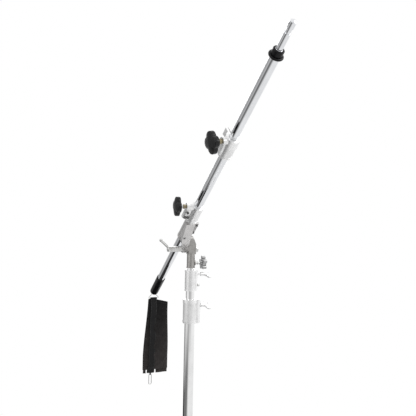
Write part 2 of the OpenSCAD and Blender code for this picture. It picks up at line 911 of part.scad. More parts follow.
// ---- counterweight bag ----

// frame of the hanger and the bag: origin on the hanger's top wire
module on_hanger() {
  translate([eye_x, -boom_side, hang_z]) children();
}

// arc of a flat path in the YZ plane
function yz_arc(y, z, r, from, to, steps) =
  [for (i = [0:steps]) let (a = from + (to - from) * i / steps) [0, y + r * cos(a), z + r * sin(a)]];

// triangular wire link: rounded top, rounded corners, straight bottom bar
module bag_hanger() {
  top_bend_r = 4;
  corner_r = 3;
  lean = 58;
  bar_z = -bar_drop + corner_r;
  color("silver") on_hanger() wire_loop(concat(
    yz_arc(0, -top_bend_r, top_bend_r, 90 - lean, 90 + lean, 8),
    yz_arc(-bar_half, bar_z, corner_r, 90 + lean, 270, 6),
    yz_arc(bar_half, bar_z, corner_r, -90, 90 - lean, 6)
  ), [1, 0, 0], wire_r, 12);
}

// one level of the bag: a round post at each edge, the right one lower by the droop
module bag_level(width, thickness, middle, z, droop = 0) {
  r = thickness / 2;
  translate([0, middle - width / 2 + r, z]) cylinder(r = r, h = 2, $fn = 32);
  translate([0, middle + width / 2 - r, z - droop]) cylinder(r = r, h = 2, $fn = 32);
}

module bag_body(inset) {
  full_z = bag_z_low + 60;
  slim = 2 * inset;
  hull() {
    bag_level(bag_top_w - slim, bag_top_t - slim, bag_top_y, bag_top - 2 - inset, bag_droop);
    bag_level(bag_low_w - slim, bag_low_t - slim, bag_low_y, full_z);
    bag_level(bag_low_w - 4 - slim, bag_low_t - 12 - slim, bag_low_y, bag_z_low + inset);
  }
}

// cloth bag with the loop that the hanger's bar runs through
module sandbag() {
  loop_w = 24;
  tab_w = 5;
  color("black") on_hanger() difference() {
    union() {
      bag_body(0);
      translate([0, 0, -bar_drop]) rod_y(wire_r + 2.5, -loop_w / 2, loop_w / 2);
      translate([-1.5, -loop_w / 2, bag_top - 10]) cube([3, loop_w, 11]);
      translate([-3, strap_y - tab_w / 2, bag_z_low - 8]) cube([6, tab_w, 12]);
    }
    translate([0, 0, -bar_drop]) rod_y(wire_r + face_gap, -loop_w, loop_w);
    translate([0, strap_y, bag_z_low - 4]) rod_y(2.5, -20, 20);
    sand_space(0);
  }
}

// the part of the bag that the sand fills
module sand_space(inset) {
  fill_h = 205;
  intersection() {
    bag_body(3 + inset);
    translate([-60, -90, bag_z_low + 3 + inset]) cube([120, 180, fill_h - 2 * inset]);
  }
}

module sand_fill() {
  color("tan") on_hanger() sand_space(0.2);
}

// small wire clip that hangs under the bag
module bag_clip() {
  clip_half = 5.5;
  clip_len = 32;
  clip_wire_r = 1.4;
  color("silver") on_hanger() translate([0, strap_y, bag_z_low - 4.6 - clip_half + 0.5]) {
    for (end = [0, 1]) translate([0, 0, -end * clip_len]) rotate([90, end * 180, 90])
      rotate_extrude(angle = 180) translate([clip_half, 0]) circle(r = clip_wire_r);
    for (side = [-1, 1]) translate([0, side * clip_half, -clip_len]) cylinder(r = clip_wire_r, h = clip_len);
  }
}

// ---- nodes ----

base_hub();
base_column();
lower_leg_collar();
lower_leg();
lower_foot();
middle_leg_collar();
middle_leg();
middle_foot();
upper_leg_collar();
upper_leg();
upper_foot();
leg_washers();
leg_lock_ring();
leg_lock_screw();
lower_collar();
lower_bush();
lower_wing_screw();
middle_riser();
middle_guide();
upper_collar();
upper_bush();
upper_collar_screw();
upper_wing_screw();
top_riser();
top_guide();
top_stud();
head_yoke();
socket_screw();
socket_knob();
tilt_bolt();
tilt_nut();
tilt_nut_washer();
friction_disc();
tilt_washer();
tilt_barrel();
tilt_lever();
boom_arm();
arm_screws();
head_clamp();
head_clamp_screws();
head_clamp_insert();
head_knob();
head_knob_screw();
outer_tube();
end_grip();
grip_eye();
front_collar();
front_bush();
front_insert();
front_knob();
front_knob_screw();
inner_tube();
inner_guide();
top_cap();
flange_ring();
spigot();
bag_hanger();
sandbag();
sand_fill();
bag_clip();
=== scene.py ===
"""Looks of the boom arm light stand: finishes, moulded knobs, the counterweight bag and the studio."""
import bpy
import bmesh
import json
import math
from mathutils import Matrix, Vector, noise
from mathutils.bvhtree import BVHTree


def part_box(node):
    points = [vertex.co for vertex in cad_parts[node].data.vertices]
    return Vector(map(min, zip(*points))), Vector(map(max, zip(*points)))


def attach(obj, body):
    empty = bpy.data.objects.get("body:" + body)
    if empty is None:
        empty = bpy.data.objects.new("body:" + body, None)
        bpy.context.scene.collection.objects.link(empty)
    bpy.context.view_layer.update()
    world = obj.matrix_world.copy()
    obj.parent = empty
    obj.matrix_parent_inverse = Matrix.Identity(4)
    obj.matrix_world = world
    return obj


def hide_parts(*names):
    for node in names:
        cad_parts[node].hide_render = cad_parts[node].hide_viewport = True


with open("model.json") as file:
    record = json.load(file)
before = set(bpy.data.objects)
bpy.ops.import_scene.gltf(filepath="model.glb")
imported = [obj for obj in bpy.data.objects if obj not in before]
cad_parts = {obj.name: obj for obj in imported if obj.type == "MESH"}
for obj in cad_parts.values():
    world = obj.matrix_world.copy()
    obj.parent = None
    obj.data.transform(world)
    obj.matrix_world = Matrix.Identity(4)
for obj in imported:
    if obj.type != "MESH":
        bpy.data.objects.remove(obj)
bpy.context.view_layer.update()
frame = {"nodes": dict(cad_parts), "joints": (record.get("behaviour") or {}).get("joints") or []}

MM = 0.001
UP = Vector((0, 0, 1))


# ---- the frame: joints and places ----

JOINTS = {joint["name"]: joint for joint in frame["joints"]}


def joint_place(name):
    return Vector(JOINTS[name]["pos_m"])


def joint_axis(name):
    return Vector(JOINTS[name]["axis"]).normalized()


BOOM_AXIS = joint_axis("boom_slide")
BOOM_TILT = math.atan2(BOOM_AXIS.z, BOOM_AXIS.x)


# ---- mesh helpers ----

def new_piece(name, verts, faces, material, body, smooth=True):
    mesh = bpy.data.meshes.new(name)
    mesh.from_pydata([tuple(v) for v in verts], [], faces)
    mesh.update()
    obj = bpy.data.objects.new(name, mesh)
    bpy.context.scene.collection.objects.link(obj)
    obj.data.materials.append(material)
    tidy_normals(obj)
    if smooth:
        mesh.shade_smooth()
    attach(obj, body)
    return obj


def tidy_normals(obj):
    bm = bmesh.new()
    bm.from_mesh(obj.data)
    bmesh.ops.recalc_face_normals(bm, faces=bm.faces)
    bm.to_mesh(obj.data)
    bm.free()


def ring_faces(rings):
    """Quads between rings of equal length; rings is a list of lists of vertex numbers."""
    faces = []
    for low, high in zip(rings, rings[1:]):
        count = len(low)
        for k in range(count):
            n = (k + 1) % count
            faces.append((low[k], low[n], high[n], high[k]))
    return faces


def flat_ends(rings):
    """Quads that close the first and last ring; a ring goes along one face and back along the other."""
    faces = []
    for ring, flip in ((rings[0], False), (rings[-1], True)):
        count = len(ring) // 2
        for k in range(count - 1):
            quad = (ring[k], ring[k + 1], ring[2 * count - 2 - k], ring[2 * count - 1 - k])
            faces.append(quad if flip else tuple(reversed(quad)))
    return faces


# ---- material helpers ----

def material(name, color, metallic=0.0, roughness=0.5, **sockets):
    """A material with a Principled shader; returns it with its node tree and shader."""
    mat = bpy.data.materials.new(name)
    mat.use_nodes = True
    shader = mat.node_tree.nodes["Principled BSDF"]
    shader.inputs["Base Color"].default_value = (*color, 1)
    shader.inputs["Metallic"].default_value = metallic
    shader.inputs["Roughness"].default_value = roughness
    for socket, value in sockets.items():
        shader.inputs[socket.replace("_", " ")].default_value = value
    return mat, mat.node_tree, shader


def coordinates(tree, scale=(1, 1, 1), tilt=0.0):
    """Object coordinates, turned about Y by tilt and stretched."""
    where = tree.nodes.new("ShaderNodeTexCoord")
    mapping = tree.nodes.new("ShaderNodeMapping")
    mapping.vector_type = "TEXTURE" if tilt else "POINT"
    if tilt:
        mapping.inputs["Rotation"].default_value = (0, tilt, 0)
        mapping.inputs["Scale"].default_value = [1 / s for s in scale]
    else:
        mapping.inputs["Scale"].default_value = scale
    tree.links.new(where.outputs["Object"], mapping.inputs["Vector"])
    return mapping.outputs["Vector"]


def noise_of(tree, vector, scale, detail=4.0, roughness=0.55):
    node = tree.nodes.new("ShaderNodeTexNoise")
    node.inputs["Scale"].default_value = scale
    node.inputs["Detail"].default_value = detail
    node.inputs["Roughness"].default_value = roughness
    tree.links.new(vector, node.inputs["Vector"])
    return node.outputs["Fac"]


def ramp(tree, value, stops):
    """A colour ramp; stops are (place, colour) with the colour a grey level or an RGB."""
    node = tree.nodes.new("ShaderNodeValToRGB")
    points = node.color_ramp.elements
    while len(points) < len(stops):
        points.new(0.5)
    for point, (place, color) in zip(points, stops):
        point.position = place
        rgb = (color, color, color) if isinstance(color, (int, float)) else color
        point.color = (*rgb, 1)
    tree.links.new(value, node.inputs["Fac"])
    return node.outputs["Color"]


def remap(tree, value, low, high, out_low, out_high):
    node = tree.nodes.new("ShaderNodeMapRange")
    for socket, number in (("From Min", low), ("From Max", high), ("To Min", out_low), ("To Max", out_high)):
        node.inputs[socket].default_value = number
    tree.links.new(value, node.inputs["Value"])
    return node.outputs["Result"]


def mixed(tree, factor, a, b):
    """Colour a where factor is 0, colour b where it is 1; a and b are sockets."""
    node = tree.nodes.new("ShaderNodeMix")
    node.data_type = "RGBA"
    tree.links.new(factor, node.inputs["Factor"])
    tree.links.new(a, node.inputs[6])
    tree.links.new(b, node.inputs[7])
    return node.outputs[2]


def maths(tree, operation, a, b):
    """A maths node; a and b are sockets or numbers."""
    node = tree.nodes.new("ShaderNodeMath")
    node.operation = operation
    for socket, value in zip(node.inputs, (a, b)):
        if isinstance(value, (int, float)):
            socket.default_value = value
        else:
            tree.links.new(value, socket)
    return node.outputs["Value"]


def bump(tree, shader, height, strength, distance):
    """Adds a bump on top of what the shader's normal already has."""
    node = tree.nodes.new("ShaderNodeBump")
    node.inputs["Strength"].default_value = strength
    node.inputs["Distance"].default_value = distance
    tree.links.new(height, node.inputs["Height"])
    earlier = shader.inputs["Normal"].links
    if earlier:
        tree.links.new(earlier[0].from_socket, node.inputs["Normal"])
    tree.links.new(node.outputs["Normal"], shader.inputs["Normal"])


def edge_wear(tree, low=0.52, high=0.60):
    """1 on worn convex edges, 0 elsewhere."""
    geometry = tree.nodes.new("ShaderNodeNewGeometry")
    return remap(tree, geometry.outputs["Pointiness"], low, high, 0, 1)


# ---- metals ----

def drawn_chrome(name, color, tilt):
    """Polished plated tube: fine drawn lines along it, faint smudges and scuffs."""
    mat, tree, shader = material(name, color, metallic=1.0, roughness=0.09)
    along = coordinates(tree, (1, 1, 0.02), tilt)
    lines = noise_of(tree, along, 2600, detail=3)
    smudge = noise_of(tree, coordinates(tree), 24, detail=5)
    scuffs = noise_of(tree, coordinates(tree, (1, 1, 0.15), tilt), 900, detail=6, roughness=0.7)
    worn = remap(tree, scuffs, 0.62, 0.80, 0, 0.22)
    haze = remap(tree, smudge, 0.35, 0.75, 0.045, 0.15)
    tree.links.new(maths(tree, "ADD", worn, haze), shader.inputs["Roughness"])
    tint = ramp(tree, smudge, [(0.3, color), (0.8, tuple(0.90 * c for c in color))])
    tree.links.new(tint, shader.inputs["Base Color"])
    bump(tree, shader, lines, 0.05, 0.02 * MM)
    bump(tree, shader, scuffs, 0.06, 0.03 * MM)
    return mat


def cast_metal(name, color, roughness=0.38, grain=0.35, metallic=0.35):
    """Painted or blasted casting: orange-peel grain, pits, painted shade darkening the hollows, bright worn
    edges.
    """
    mat, tree, shader = material(name, color, metallic=metallic, roughness=roughness)
    fine = noise_of(tree, coordinates(tree), 1900, detail=5)
    broad = noise_of(tree, coordinates(tree), 55, detail=5)
    dark = tuple(0.90 * c for c in color)
    light = tuple(min(1.0, 1.04 * c) for c in color)
    body_color = ramp(tree, broad, [(0.30, dark), (0.50, color), (0.72, light)])
    geometry = tree.nodes.new("ShaderNodeNewGeometry")
    # Painted shade: the hollows, where pointiness is low, are darkened towards a dim copy of the colour.
    hollow = remap(tree, geometry.outputs["Pointiness"], 0.34, 0.46, 0.45, 0)
    painted_hollow_shade = ramp(tree, broad, [(0.0, tuple(0.30 * c for c in color)), (1.0, tuple(0.45 * c for c in color))])
    body_with_painted_shade = mixed(tree, hollow, body_color, painted_hollow_shade)
    bright = ramp(tree, broad, [(0.0, light), (1.0, tuple(min(1.0, 1.25 * c) for c in color))])
    tree.links.new(mixed(tree, edge_wear(tree, 0.54, 0.70), body_with_painted_shade, bright), shader.inputs["Base Color"])
    polish = remap(tree, fine, 0.3, 0.7, roughness - 0.08, roughness + 0.14)
    tree.links.new(polish, shader.inputs["Roughness"])
    bump(tree, shader, fine, grain, 0.05 * MM)
    bump(tree, shader, broad, 0.12, 0.20 * MM)
    return mat


def turned_steel(name, color, roughness, streak_axis="Y"):
    """Machined steel: fine lines round its axis, small stains and scratches."""
    mat, tree, shader = material(name, color, metallic=1.0, roughness=roughness)
    squash = {"X": (0.02, 1, 1), "Y": (1, 1, 0.05), "Z": (0.05, 0.05, 1)}[streak_axis]
    lines = noise_of(tree, coordinates(tree, squash), 2200, detail=4)
    stains = noise_of(tree, coordinates(tree), 130, detail=6, roughness=0.65)
    tint = ramp(tree, stains, [(0.32, tuple(0.72 * c for c in color)), (0.55, color), (0.8, color)])
    tree.links.new(tint, shader.inputs["Base Color"])
    polish = remap(tree, stains, 0.3, 0.75, roughness + 0.12, roughness - 0.04)
    tree.links.new(polish, shader.inputs["Roughness"])
    bump(tree, shader, lines, 0.14, 0.03 * MM)
    return mat


def dark_screw():
    """Blackened screws, rubbed bright on their edges."""
    color = (0.035, 0.035, 0.037)
    mat, tree, shader = material("blackened_screw", color, metallic=0.8, roughness=0.42)
    grain = noise_of(tree, coordinates(tree), 1500, detail=5)
    base = ramp(tree, grain, [(0.3, (0.02, 0.02, 0.022)), (0.7, (0.07, 0.07, 0.072))])
    rubbed = ramp(tree, grain, [(0.2, (0.16, 0.16, 0.16)), (0.8, (0.42, 0.42, 0.41))])
    tree.links.new(mixed(tree, edge_wear(tree, 0.55, 0.68), base, rubbed), shader.inputs["Base Color"])
    bump(tree, shader, grain, 0.2, 0.05 * MM)
    return mat


# ---- plastics, rubber, fibre ----

def moulded_plastic(name, color, roughness, grain_height, specular=0.45):
    """Moulded plastic: fine spark-eroded grain, paler rubbed edges, faint finger marks."""
    mat, tree, shader = material(name, color, roughness=roughness, Specular_IOR_Level=specular)
    grain = noise_of(tree, coordinates(tree), 1700, detail=3)
    marks = noise_of(tree, coordinates(tree), 70, detail=6)
    tone = ramp(tree, marks, [(0.3, color), (0.75, tuple(1.7 * c for c in color))])
    pale, palest = (tuple(min(1, share * c) for c in color) for share in (1.6, 2.4))
    rubbed = ramp(tree, grain, [(0.2, pale), (0.8, palest)])
    tree.links.new(mixed(tree, edge_wear(tree, 0.58, 0.75), tone, rubbed), shader.inputs["Base Color"])
    gloss = remap(tree, marks, 0.3, 0.75, roughness + 0.08, roughness - 0.08)
    tree.links.new(gloss, shader.inputs["Roughness"])
    bump(tree, shader, grain, 0.35, grain_height)
    return mat


def foot_rubber():
    color = (0.035, 0.034, 0.033)
    mat, tree, shader = material("foot_rubber", color, roughness=0.8)
    grain = noise_of(tree, coordinates(tree), 900, detail=6)
    dust = noise_of(tree, coordinates(tree), 60, detail=6)
    tone = ramp(tree, dust, [(0.35, color), (0.8, (0.12, 0.115, 0.105))])
    tree.links.new(tone, shader.inputs["Base Color"])
    bump(tree, shader, grain, 0.5, 0.12 * MM)
    return mat


def fibre_disc():
    color = (0.05, 0.045, 0.04)
    mat, tree, shader = material("fibre_disc", color, roughness=0.85)
    fibres = noise_of(tree, coordinates(tree, (1, 1, 0.2)), 1600, detail=6, roughness=0.7)
    tone = ramp(tree, fibres, [(0.3, (0.02, 0.018, 0.016)), (0.7, (0.11, 0.10, 0.085))])
    tree.links.new(tone, shader.inputs["Base Color"])
    bump(tree, shader, fibres, 0.6, 0.1 * MM)
    return mat


# ---- cloth ----

def weave(tree, vector, pitch, ratio=1.0):
    """Height of a plain weave with the given thread pitch in metres, 0 to 1."""
    split = tree.nodes.new("ShaderNodeSeparateXYZ")
    tree.links.new(vector, split.inputs["Vector"])
    across = maths(tree, "MULTIPLY", split.outputs["Y"], math.pi / pitch)
    along = maths(tree, "MULTIPLY", split.outputs["Z"], math.pi / (pitch * ratio))
    warp = maths(tree, "ABSOLUTE", maths(tree, "SINE", across, 0), 0)
    weft = maths(tree, "ABSOLUTE", maths(tree, "SINE", along, 0), 0)
    return maths(tree, "MAXIMUM", warp, weft)


def bag_cloth():
    """Heavy black nylon: plain weave, soft sheen, darker at the top and paler towards the bottom."""
    color = (0.012, 0.012, 0.013)
    mat, tree, shader = material(
        "bag_nylon", color, roughness=0.72, Sheen_Weight=0.04, Sheen_Roughness=0.4, Specular_IOR_Level=0.12
    )
    threads = weave(tree, coordinates(tree), 0.9 * MM)
    slubs = noise_of(tree, coordinates(tree, (1, 1, 0.12)), 420, detail=5)
    dust = noise_of(tree, coordinates(tree), 38, detail=6, roughness=0.62)
    low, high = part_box("sandbag")
    split = tree.nodes.new("ShaderNodeSeparateXYZ")
    tree.links.new(coordinates(tree), split.inputs["Vector"])
    height = remap(tree, split.outputs["Z"], low.z, high.z, 1, 0)
    # The colour goes from near black at the top to a paler grey-black towards the bottom, with blotches.
    lower_share = maths(tree, "MULTIPLY", maths(tree, "ADD", dust, 0.15), maths(tree, "POWER", height, 1.3))
    lower_share = remap(tree, lower_share, 0.0, 0.75, 0, 1)
    upper_tone = ramp(tree, slubs, [(0.3, (0.002, 0.002, 0.0022)), (0.7, (0.007, 0.007, 0.0075))])
    worn = ramp(tree, slubs, [(0.3, (0.026, 0.022, 0.021)), (0.7, (0.050, 0.044, 0.042))])
    tree.links.new(mixed(tree, lower_share, upper_tone, worn), shader.inputs["Base Color"])
    bump(tree, shader, threads, 0.55, 0.16 * MM)
    bump(tree, shader, slubs, 0.25, 0.25 * MM)
    return mat


def webbing():
    """Woven strap: ribbed weave with raised edges and a duller sheen than the bag."""
    color = (0.010, 0.010, 0.011)
    mat, tree, shader = material(
        "strap_webbing", color, roughness=0.7, Sheen_Weight=0.05, Specular_IOR_Level=0.2
    )
    ribs = weave(tree, coordinates(tree), 2.4 * MM, ratio=0.45)
    fuzz = noise_of(tree, coordinates(tree), 1500, detail=5)
    tree.links.new(ramp(tree, fuzz, [(0.3, (0.003, 0.003, 0.0032)), (0.75, (0.012, 0.012, 0.0125))]),
                   shader.inputs["Base Color"])
    bump(tree, shader, ribs, 0.8, 0.3 * MM)
    bump(tree, shader, fuzz, 0.3, 0.08 * MM)
    return mat


def thread():
    """Bonded polyester thread with a twist."""
    color = (0.07, 0.07, 0.072)
    mat, tree, shader = material("bag_thread", color, roughness=0.5, Sheen_Weight=0.1)
    twist = noise_of(tree, coordinates(tree), 2400, detail=2)
    tree.links.new(ramp(tree, twist, [(0.3, (0.02, 0.02, 0.021)), (0.7, (0.07, 0.07, 0.071))]),
                   shader.inputs["Base Color"])
    bump(tree, shader, twist, 0.5, 0.06 * MM)
    return mat


def sand():
    """Dry sand: grains of several tones."""
    mat, tree, shader = material("sand", (0.6, 0.5, 0.36), roughness=0.9)
    cells = tree.nodes.new("ShaderNodeTexVoronoi")
    cells.inputs["Scale"].default_value = 1600
    tree.links.new(coordinates(tree), cells.inputs["Vector"])
    tree.links.new(ramp(tree, cells.outputs["Color"], [(0.2, (0.36, 0.27, 0.17)), (0.8, (0.78, 0.68, 0.52))]),
                   shader.inputs["Base Color"])
    bump(tree, shader, cells.outputs["Distance"], 0.8, 0.4 * MM)
    return mat


def paint_cad_nodes(finishes, own_finishes):
    """Gives each CAD node the finish of its slot, or its own where it has one."""
    for name, node in frame["nodes"].items():
        for place in node.material_slots:
            place.material = own_finishes.get(name) or finishes[place.material.name.split(".")[0]]


FINISHES = {
    "boom_chrome": drawn_chrome("drawn_boom_chrome", (0.84, 0.85, 0.87), math.pi / 2 - BOOM_TILT),
    "stand_chrome": drawn_chrome("drawn_stand_chrome", (0.90, 0.90, 0.90), 0.0),
    "base_casting": cast_metal("base_casting_paint", (0.55, 0.55, 0.55)),
    "collar_casting": cast_metal("collar_casting_metal", (0.84, 0.84, 0.84), roughness=0.28, metallic=0.75),
    "arm_casting": cast_metal("arm_casting_metal", (0.60, 0.59, 0.585), roughness=0.24, metallic=0.9),
    "yoke_steel": turned_steel("yoke_satin_steel", (0.42, 0.41, 0.395), 0.34, "Z"),
    "bright_steel": turned_steel("bright_turned_steel", (0.66, 0.66, 0.65), 0.14, "Y"),
    "wing_metal": cast_metal("wing_cast_metal", (0.80, 0.80, 0.80), roughness=0.26, metallic=0.6),
    "dark_screw": dark_screw(),
    "brass_insert": turned_steel("brass_bush", (0.30, 0.26, 0.17), 0.34, "Y"),
    "knob_plastic": moulded_plastic("knob_moulding", (0.003, 0.003, 0.0035), 0.24, 0.012 * MM, 0.32),
    "cap_plastic": moulded_plastic("cap_moulding", (0.003, 0.003, 0.0035), 0.30, 0.02 * MM, 0.20),
    "liner_plastic": moulded_plastic("liner_plastic", (0.74, 0.74, 0.70), 0.48, 0.03 * MM),
    "fibre_disc": fibre_disc(),
    "foot_rubber": foot_rubber(),
    "bag_cloth": bag_cloth(),
    "sand": sand(),
}
NODE_FINISHES = {"socket_knob": turned_steel("socket_knob_polished", (0.46, 0.46, 0.46), 0.20, "Y")}
paint_cad_nodes(FINISHES, NODE_FINISHES)


# ---- star knobs ----

KNOB_SIDES = 144
KNOB_WALL = 3.2 * MM
KNOB_HUB = 11.5 * MM
KNOB_BORE = 4.05 * MM
KNOB_RIM_ROUND = 3.5 * MM
KNOB_DOME = 4.5 * MM
KNOB_FACE = 7 * MM
KNOB_LOBE_DEPTH = 0.24
KNOB_LOBE_BREADTH = 0.55
KNOB_RIM_STEPS = 8
KNOB_DOME_STEPS = 15
KNOB_GROOVE = 0.7 * MM
RIB_HALF = 0.9 * MM


def span_along(node, place, axis):
    """Nearest and farthest reach of a CAD node along an axis, and its largest radius about it."""
    offsets = [vertex.co - place for vertex in frame["nodes"][node].data.vertices]
    reaches = [offset.dot(axis) for offset in offsets]
    radii = [(offset - offset.dot(axis) * axis).length for offset in offsets]
    return min(reaches), max(reaches), max(radii)


def star(angle, lobe_angle):
    """Radius of the four-lobed outline as a share of the knob's radius."""
    lobe = (0.5 + 0.5 * math.cos(4 * (angle - lobe_angle))) ** KNOB_LOBE_BREADTH
    return 1.0 - KNOB_LOBE_DEPTH * (1 - lobe)


def knob_profile(radius, thick):
    """Half section from the bore round the back and the rim to the middle of the face.

    Each point is its distance from the axis as a share of the radius, its height, and how far it is lobed."""
    rim = thick - KNOB_DOME
    floor = thick - KNOB_FACE
    inside = (radius - KNOB_WALL) / radius
    hub, bore = KNOB_HUB / radius, KNOB_BORE / radius
    hollow = [(bore, floor, 0.0), (bore, 1.0 * MM, 0.0), (bore * 1.15, 0.2 * MM, 0.0),
              (hub * 0.94, 0.2 * MM, 0.0), (hub, 0.8 * MM, 0.0), (hub, floor - 1.5 * MM, 0.0),
              (hub * 1.12, floor, 0.0),
              (inside * 0.95, floor, 1.0), (inside * 0.985, floor - 2 * MM, 1.0), (inside, 0.6 * MM, 1.0),
              (inside, 0.0, 1.0), (0.97, 0.0, 1.0), (0.985, 0.0, 1.0)]
    side = [(0.992, 0.8 * MM, 1.0), (1.0, 2.5 * MM, 1.0), (1.0, rim * 0.5, 1.0)]
    edge = []
    for step in range(KNOB_RIM_STEPS + 1):
        turn = step / KNOB_RIM_STEPS * math.pi / 2
        inset = KNOB_RIM_ROUND * (1 - math.cos(turn))
        edge.append(((radius - inset) / radius, rim - KNOB_RIM_ROUND * (1 - math.sin(turn)), 1.0))
    start = (radius - KNOB_RIM_ROUND) / radius
    dome = []
    for step in range(1, KNOB_DOME_STEPS):
        scale = start * (1 - step / KNOB_DOME_STEPS)
        rise = KNOB_DOME * (1 - (scale / start) ** 2)
        sunk = KNOB_GROOVE if 0.36 < scale < 0.42 else 0.0
        dome.append((scale, rim + rise - sunk, min(1.0, scale / 0.5)))
    return hollow + side + edge + dome


def make_star_knob(name, node, joint, body, lobe_angle):
    """Moulded knob: rounded rim, shallow dome with a sunk ring, open back with a hub and ribs."""
    axis = joint_axis(joint)
    across = BOOM_AXIS.cross(axis).normalized()
    place = joint_place(joint)
    back, front, radius = span_along(node, place, axis)
    thick = front - back
    verts, rings = [], []
    for scale, height, lobed in knob_profile(radius, thick):
        ring = []
        for k in range(KNOB_SIDES):
            angle = 2 * math.pi * k / KNOB_SIDES
            reach = radius * scale * (1 + lobed * (star(angle, lobe_angle) - 1))
            ring.append(len(verts))
            verts.append((reach * math.cos(angle), reach * math.sin(angle), height))
        rings.append(ring)
    faces = ring_faces(rings)
    faces.append(tuple(reversed(rings[0])))
    faces.append(tuple(rings[-1]))
    for rib_verts, rib_faces in rib_boxes(radius, thick - KNOB_FACE, lobe_angle):
        first = len(verts)
        verts.extend(rib_verts)
        faces.extend(tuple(first + n for n in face) for face in rib_faces)
    turn = Matrix((across, BOOM_AXIS, axis)).transposed().to_4x4()
    to_place = Matrix.Translation(place + back * axis) @ turn
    knob = new_piece(name, [to_place @ Vector(v) for v in verts], faces,
                     FINISHES["knob_plastic"], body)
    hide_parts(node)


def rib_boxes(radius, floor, lobe_angle):
    """Thin ribs from the hub out into each lobe and each waist, inside the knob's back."""
    inner = 0.98 * KNOB_HUB
    sides = [(0, 3, 2, 1), (4, 5, 6, 7), (0, 1, 5, 4), (1, 2, 6, 5), (2, 3, 7, 6), (3, 0, 4, 7)]
    parts = []
    for k in range(8):
        angle = lobe_angle + k * math.pi / 4
        outer = (0.86 if k % 2 == 0 else 0.58) * radius
        along = Vector((math.cos(angle), math.sin(angle), 0))
        side = Vector((-along.y, along.x, 0)) * RIB_HALF
        corners = []
        for z in (1.5 * MM, floor + 0.5 * MM):
            for reach, sign in ((inner, -1), (outer, -1), (outer, 1), (inner, 1)):
                point = along * reach + sign * side
                corners.append((point.x, point.y, z))
        parts.append((corners, sides))
    return parts


make_star_knob("head_star_knob", "head_knob", "clamp_knob_turn", "clamp_knob", math.radians(45))
make_star_knob("front_star_knob", "front_knob", "boom_knob_turn", "boom_knob", math.radians(54))


# ---- counterweight bag ----

BAR = joint_place("bag_swing")
BAG_ROWS = 66
BAG_COLS = 30
BAG_FIN = 3.5 * MM
FIN_HALF = 0.8 * MM
BAG_DROOP = 15 * MM
TAB_DROP = 14 * MM
STRAP_WIDTH = 28 * MM
STRAP_HALF = 0.8 * MM
BAG_TOP = BAR.z - 2.5 * MM
BAG_BOTTOM = joint_place("clip_swing").z + 4.1 * MM
STRAP_TOP_Y = BAR.y
STRAP_LOW_Y = joint_place("clip_swing").y
TOP_HALF = 43 * MM
LOW_HALF = 54 * MM
TOP_MIDDLE = BAR.y + 20 * MM
LOW_MIDDLE = BAR.y + 12 * MM
TOP_THICK = 9 * MM
LOW_THICK = 19.5 * MM
SAND_FILL = 205 * MM
SAND_SPREAD = 0.72
SAND_DEPTH = 0.50
SHELL_DROP = BAG_TOP - BAG_BOTTOM - TAB_DROP
SHELL_FULLNESS = 0.93
FOLD_DEPTH = 2.2 * MM
SWELL_CAP = 9 * MM
CLOTH_FRAMES = 20
CLOTH_PRESSURE = 3.5
CLOTH_SPARE_LENGTH = 0.03
CLOTH_STIFFNESS = 12
CLOTH_BENDING = 0.12
CLOTH_QUALITY = 6
STRAP_STEPS = 74
STRAP_LIFT = 0.3 * MM
BAR_GAP = 0.4 * MM
BAR_RADIUS = 1.5 * MM
STITCH_PITCH = 4.2 * MM
STITCH_LENGTH = 3.0 * MM
STITCH_RADIUS = 0.42 * MM
STITCH_INSET = 3 * MM
SEAM_STITCHES = 74
HEM_STITCHES = 18
TAB_HALF = 1.6 * MM
TAB_CURL = 1.6 * MM
TAB_OVERLAP = 8 * MM
TAB_INSET = 2 * MM
NOTCH_HALF = 2.6 * MM
NOTCHES = (STRAP_LOW_Y - 17.5 * MM, STRAP_LOW_Y + 20 * MM)
LOOP_RADIUS = 3.3 * MM
LOOP_PULL = 5 * MM
LOOP_WIDTH = 5 * MM
LOOP_HALF = 0.6 * MM
SAND_FLOOR = 0.955
STRAP_WEBBING = webbing()


def smooth_step(value):
    value = max(0.0, min(1.0, value))
    return value * value * (3 - 2 * value)


def bag_outline(drop):
    """Middle, half width and half thickness of the bag at a share of its height, 0 top to 1 bottom."""
    spread = min(1.0, drop / 0.80)
    half = TOP_HALF + (LOW_HALF - TOP_HALF) * smooth_step(spread)
    middle = TOP_MIDDLE + (LOW_MIDDLE - TOP_MIDDLE) * spread
    belly = smooth_step(drop / 0.72)
    thick = TOP_THICK * min(1.0, 0.25 + 6 * drop) + (LOW_THICK - TOP_THICK) * belly
    thick *= math.sqrt(max(0.0, 1 - max(0.0, (drop - 0.86) / 0.14) ** 2.4)) * 0.98 + 0.02
    return middle, half, thick


def bag_slump(lean, drop):
    """How far the cloth hangs below its level, at a share of the width (0 at -Y) and of the height."""
    return BAG_DROOP * lean ** 1.6 * (1 - drop) ** 2


def bag_shell():
    """Closed sewn shell: front and back panels that meet in flat seam fins at both sides."""
    verts, rings, pinned = [], [], []
    columns = [k / BAG_COLS * 2 - 1 for k in range(BAG_COLS + 1)]
    for row in range(BAG_ROWS + 1):
        drop = row / BAG_ROWS
        middle, half, thick = bag_outline(drop)
        body_half = half - BAG_FIN
        ring = []
        for face in (1, -1):
            order = columns if face > 0 else list(reversed(columns))
            for column in order:
                crown = max(0.0, 1 - abs(column) ** 2.4) ** 0.6
                height = BAG_TOP - bag_slump(0.5 * (column + 1), drop) - drop * SHELL_DROP
                x = BAR.x + face * max(FIN_HALF, thick * SHELL_FULLNESS * crown)
                y = middle + column * body_half
                if abs(column) > 0.999:
                    y += math.copysign(BAG_FIN, column)
                    pinned.append(len(verts))
                elif row < 2 or row > BAG_ROWS - 2:
                    pinned.append(len(verts))
                ring.append(len(verts))
                verts.append(Vector((x, y, height)))
        rings.append(ring)
    return verts, ring_faces(rings) + flat_ends(rings), pinned


